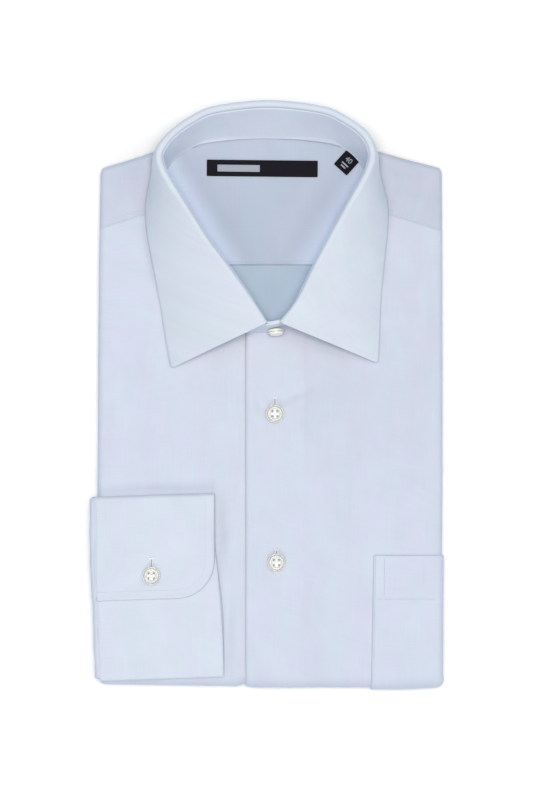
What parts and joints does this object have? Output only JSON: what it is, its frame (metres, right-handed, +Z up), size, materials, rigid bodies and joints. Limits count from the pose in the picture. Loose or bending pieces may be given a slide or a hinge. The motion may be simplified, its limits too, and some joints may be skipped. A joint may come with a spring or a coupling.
{
  "type": "folded dress shirt",
  "caption": "Light blue long sleeve dress shirt, folded flat with its point collar standing, pearly buttons, a chest pocket and one buttoned cuff at the front",
  "frame": {"origin": "on the surface that the folded shirt lies on, under the middle of the packet", "axes": "+Y runs from the bottom fold towards the collar, +X towards the wearer's left, +Z up, off the surface"},
  "size_m": [0.222, 0.3668, 0.0504],
  "materials": {
    "shirting": "matt",
    "label": "matt",
    "button": "gloss"
  },
  "bodies": {
    "root": {"folded_layers": "shirting", "front_right": "shirting", "front_left": "shirting", "yoke_outer": "shirting", "yoke_inner": "shirting", "back": "shirting", "collar_band": "shirting", "collar_leaf": "shirting", "cuff_right": "shirting", "sleeve_right": "shirting", "pocket": "shirting", "label_main": "label", "label_size": "label", "button_front_1": "button", "button_front_2": "button", "button_cuff": "button", "button_collar": "button"}
  },
  "joints": []
}
